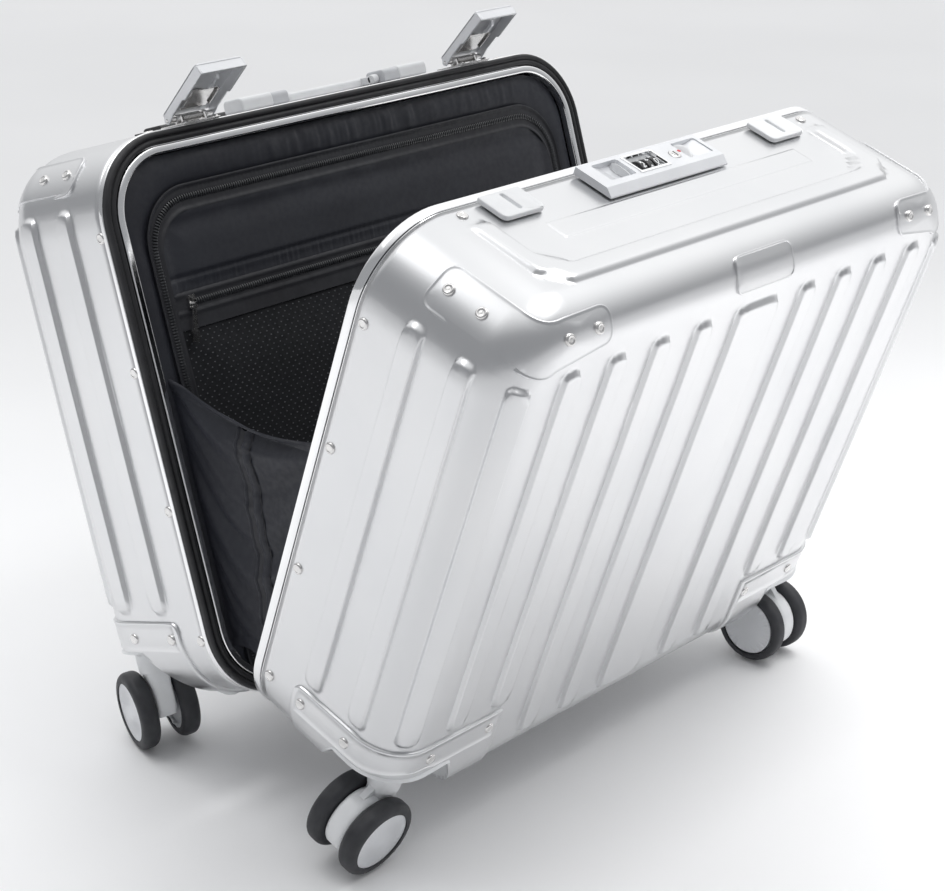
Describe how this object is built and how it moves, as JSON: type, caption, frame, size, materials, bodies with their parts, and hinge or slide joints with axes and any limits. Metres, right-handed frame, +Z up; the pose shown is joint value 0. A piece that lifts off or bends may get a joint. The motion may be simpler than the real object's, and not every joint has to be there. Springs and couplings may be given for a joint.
{
  "type": "hard shell suitcase on wheels",
  "caption": "Ribbed aluminium cabin case with spinner casters, standing open, with draw latches, combination lock, carry and trolley handles.",
  "frame": {"origin": "on the floor, under the middle of the standing case's own box", "axes": "+Z up; X along the case hinge; the back shell leans to +Y and the front shell to -Y"},
  "size_m": [0.468, 0.451, 0.4584],
  "materials": {
    "satin_aluminium": "sandblasted satin",
    "polished_aluminium": "polished",
    "satin_diecast": "satin die casting",
    "steel": "bright nickel",
    "white_plastic": "satin white",
    "grey_plastic": "light grey",
    "black_plastic": "black, fine grain",
    "tyre": "dark rubber tyre on a pale disc",
    "black_seal": "black",
    "navy_cloth": "navy-black satin weave"
  },
  "bodies": {
    "back_half": {"back_shell": "satin_aluminium", "back_rim": "polished_aluminium", "rim_seal": "black_seal", "divider_panel": "navy_cloth", "trolley_bezel": "black_plastic", "trolley_guide_tubes": "polished_aluminium", "gusset_left": "navy_cloth", "gusset_right": "navy_cloth", "corner_guard_back_left": "satin_aluminium", "wheel_housing_back_left": "satin_aluminium", "hinge_leaf_back_left": "steel", "corner_guard_back_right": "satin_aluminium", "wheel_housing_back_right": "satin_aluminium", "hinge_leaf_back_right": "steel", "latch_bracket_left": "steel", "handle_bracket_left": "grey_plastic", "latch_bracket_right": "steel", "handle_bracket_right": "grey_plastic"},
    "front_half": {"front_shell": "satin_aluminium", "front_rim": "polished_aluminium", "front_lining": "navy_cloth", "badge_plate": "satin_aluminium", "lock_housing": "satin_diecast", "corner_guard_front_left": "satin_aluminium", "wheel_housing_front_left": "satin_aluminium", "hinge_leaf_front_left": "steel", "corner_guard_front_right": "satin_aluminium", "wheel_housing_front_right": "satin_aluminium", "hinge_leaf_front_right": "steel", "latch_catch_left": "white_plastic", "latch_catch_right": "white_plastic"},
    "caster_back_left": {"caster_fork_back_left": "white_plastic", "caster_axle_back_left": "steel"},
    "wheel_back_left_a": {"wheel_back_left_a": "tyre"},
    "wheel_back_left_b": {"wheel_back_left_b": "tyre"},
    "caster_back_right": {"caster_fork_back_right": "white_plastic", "caster_axle_back_right": "steel"},
    "wheel_back_right_a": {"wheel_back_right_a": "tyre"},
    "wheel_back_right_b": {"wheel_back_right_b": "tyre"},
    "caster_front_left": {"caster_fork_front_left": "white_plastic", "caster_axle_front_left": "steel"},
    "wheel_front_left_a": {"wheel_front_left_a": "tyre"},
    "wheel_front_left_b": {"wheel_front_left_b": "tyre"},
    "caster_front_right": {"caster_fork_front_right": "white_plastic", "caster_axle_front_right": "steel"},
    "wheel_front_right_a": {"wheel_front_right_a": "tyre"},
    "wheel_front_right_b": {"wheel_front_right_b": "tyre"},
    "latch_left": {"latch_lever_left": "satin_diecast"},
    "latch_right": {"latch_lever_right": "satin_diecast"},
    "carry_handle": {"carry_handle": "white_plastic"},
    "trolley_middle": {"trolley_middle_tube_left": "polished_aluminium", "trolley_middle_tube_right": "polished_aluminium"},
    "trolley_top": {"trolley_grip": "black_plastic"},
    "trolley_button": {"trolley_button": "grey_plastic"},
    "dial_1": {"lock_dial_1": "black_plastic"},
    "dial_2": {"lock_dial_2": "black_plastic"},
    "dial_3": {"lock_dial_3": "black_plastic"},
    "lock_button_left": {"lock_button_left": "steel"},
    "lock_button_right": {"lock_button_right": "steel"},
    "key_cylinder": {"key_cylinder": "steel"}
  },
  "joints": [
    {"name": "case_hinge", "type": "hinge", "parent": "back_half", "child": "front_half", "pos_m": [0, 0.00192, 0.06033], "axis": [1, 0, 0], "range_deg": [-36.54, 0], "deforming": ["gusset_left", "gusset_right"]},
    {"name": "swivel_back_left", "type": "hinge", "parent": "back_half", "child": "caster_back_left", "pos_m": [-0.19424, 0.11261, 0.06865], "axis": [0, 0.3135, 0.9496], "continuous": true},
    {"name": "roll_back_left_a", "type": "hinge", "parent": "caster_back_left", "child": "wheel_back_left_a", "pos_m": [-0.17626, 0.1078, 0.03022], "axis": [0.9438, -0.3139, 0.1036], "continuous": true},
    {"name": "roll_back_left_b", "type": "hinge", "parent": "caster_back_left", "child": "wheel_back_left_b", "pos_m": [-0.20363, 0.1169, 0.02721], "axis": [0.9438, -0.3139, 0.1036], "continuous": true},
    {"name": "swivel_back_right", "type": "hinge", "parent": "back_half", "child": "caster_back_right", "pos_m": [0.20576, 0.11261, 0.06865], "axis": [0, 0.3135, 0.9496], "continuous": true},
    {"name": "roll_back_right_a", "type": "hinge", "parent": "caster_back_right", "child": "wheel_back_right_a", "pos_m": [0.21882, 0.11442, 0.02803], "axis": [0.9945, 0.0993, -0.0328], "continuous": true},
    {"name": "roll_back_right_b", "type": "hinge", "parent": "caster_back_right", "child": "wheel_back_right_b", "pos_m": [0.18998, 0.11154, 0.02899], "axis": [0.9945, 0.0993, -0.0328], "continuous": true},
    {"name": "swivel_front_left", "type": "hinge", "parent": "front_half", "child": "caster_front_left", "pos_m": [-0.19424, -0.10876, 0.06865], "axis": [0, -0.3135, 0.9496], "continuous": true},
    {"name": "roll_front_left_a", "type": "hinge", "parent": "caster_front_left", "child": "wheel_front_left_a", "pos_m": [-0.20724, -0.08308, 0.03711], "axis": [0, 0.9496, 0.3135], "continuous": true},
    {"name": "roll_front_left_b", "type": "hinge", "parent": "caster_front_left", "child": "wheel_front_left_b", "pos_m": [-0.20724, -0.11062, 0.02802], "axis": [0, 0.9496, 0.3135], "continuous": true},
    {"name": "swivel_front_right", "type": "hinge", "parent": "front_half", "child": "caster_front_right", "pos_m": [0.20576, -0.10876, 0.06865], "axis": [0, -0.3135, 0.9496], "continuous": true},
    {"name": "roll_front_right_a", "type": "hinge", "parent": "caster_front_right", "child": "wheel_front_right_a", "pos_m": [0.19126, -0.1092, 0.02849], "axis": [-1, 0, 0], "continuous": true},
    {"name": "roll_front_right_b", "type": "hinge", "parent": "caster_front_right", "child": "wheel_front_right_b", "pos_m": [0.22026, -0.1092, 0.02849], "axis": [-1, 0, 0], "continuous": true},
    {"name": "latch_left_lever", "type": "hinge", "parent": "back_half", "child": "latch_left", "pos_m": [-0.12424, 0.13659, 0.41878], "axis": [1, 0, 0], "range_deg": [-64, 31]},
    {"name": "latch_right_lever", "type": "hinge", "parent": "back_half", "child": "latch_right", "pos_m": [0.13576, 0.13659, 0.41878], "axis": [1, 0, 0], "range_deg": [-64, 31]},
    {"name": "carry_handle_fold", "type": "hinge", "parent": "back_half", "child": "carry_handle", "pos_m": [0.00576, 0.14115, 0.41664], "axis": [1, 0, 0], "range_deg": [0, 95]},
    {"name": "trolley_first_draw", "type": "slide", "parent": "back_half", "child": "trolley_middle", "axis": [0, 0.3135, 0.9496], "range_m": [0, 0.29]},
    {"name": "trolley_second_draw", "type": "slide", "parent": "trolley_middle", "child": "trolley_top", "axis": [0, 0.3135, 0.9496], "range_m": [0, 0.29]},
    {"name": "trolley_button_press", "type": "slide", "parent": "trolley_top", "child": "trolley_button", "axis": [0, -0.3135, -0.9496], "range_m": [0, 0.003], "stiffness_N_per_m": 400},
    {"name": "dial_1_turn", "type": "hinge", "parent": "front_half", "child": "dial_1", "pos_m": [-0.00864, -0.13668, 0.41158], "axis": [1, 0, 0], "continuous": true},
    {"name": "dial_2_turn", "type": "hinge", "parent": "front_half", "child": "dial_2", "pos_m": [-0.00224, -0.13668, 0.41158], "axis": [1, 0, 0], "continuous": true},
    {"name": "dial_3_turn", "type": "hinge", "parent": "front_half", "child": "dial_3", "pos_m": [0.00416, -0.13668, 0.41158], "axis": [1, 0, 0], "continuous": true},
    {"name": "lock_button_left_slide", "type": "slide", "parent": "front_half", "child": "lock_button_left", "axis": [-1, 0, 0], "range_m": [0, 0.0045], "stiffness_N_per_m": 300},
    {"name": "lock_button_right_slide", "type": "slide", "parent": "front_half", "child": "lock_button_right", "axis": [1, 0, 0], "range_m": [0, 0.0045], "stiffness_N_per_m": 300},
    {"name": "key_turn", "type": "hinge", "parent": "front_half", "child": "key_cylinder", "pos_m": [0.02476, -0.13844, 0.4169], "axis": [0, -0.3135, 0.9496], "range_deg": [0, 90]}
  ]
}
